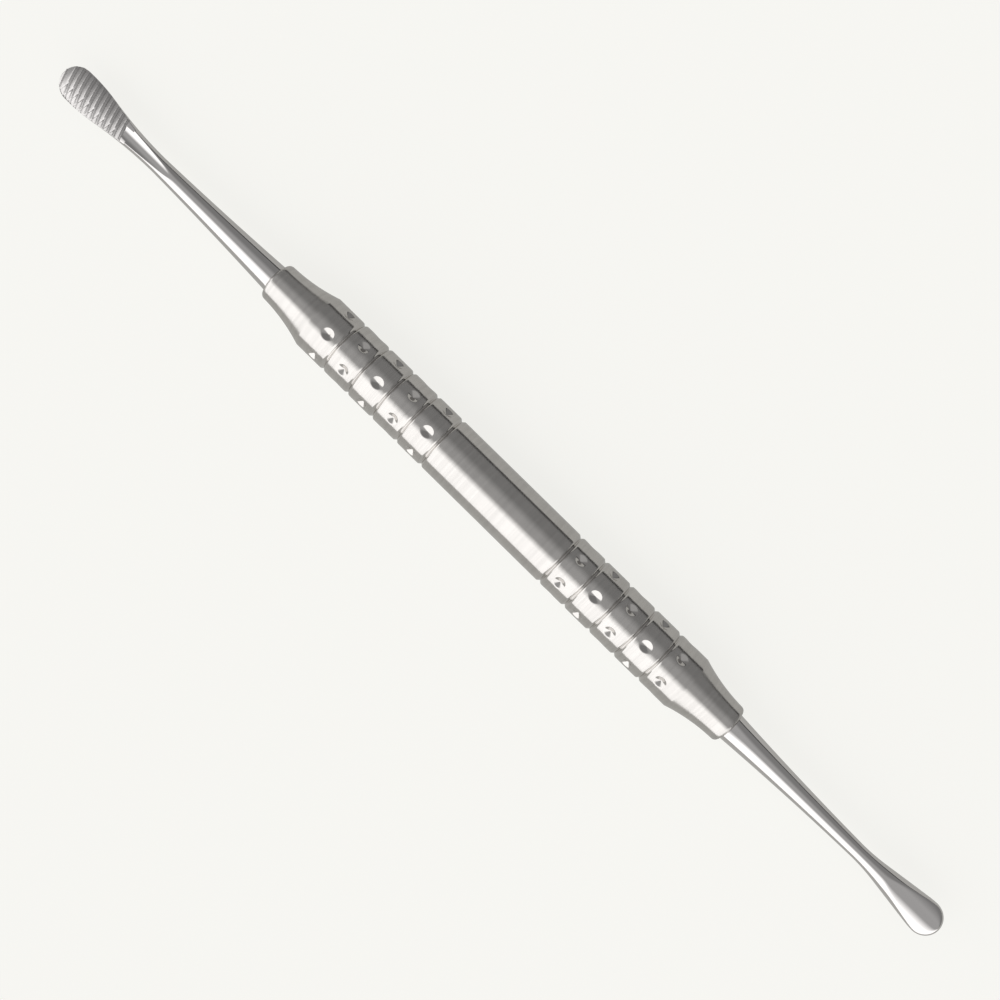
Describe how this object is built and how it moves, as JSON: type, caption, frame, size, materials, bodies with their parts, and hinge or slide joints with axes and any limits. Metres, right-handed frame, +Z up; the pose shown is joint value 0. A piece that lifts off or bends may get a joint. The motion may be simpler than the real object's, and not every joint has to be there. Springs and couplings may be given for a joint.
{
  "type": "double-ended bone file",
  "caption": "Slim double-ended hand file with a dimpled round handle and a small toothed spoon blade at each end, one facing up and one facing down.",
  "frame": {"origin": "middle of the handle, on its axis, where the plain grip band is centred", "axes": "+X along the handle from the end whose teeth face up to the end whose teeth face down, +Z up, out of the toothed face of the left end"},
  "size_m": [0.1753, 0.009, 0.009],
  "materials": {
    "handle_satin_steel": "satin turned stainless steel",
    "working_end_steel": "mirror polished stainless steel"
  },
  "bodies": {
    "root": {"handle": "handle_satin_steel", "working_end_left": "working_end_steel", "working_end_right": "working_end_steel"}
  },
  "joints": []
}
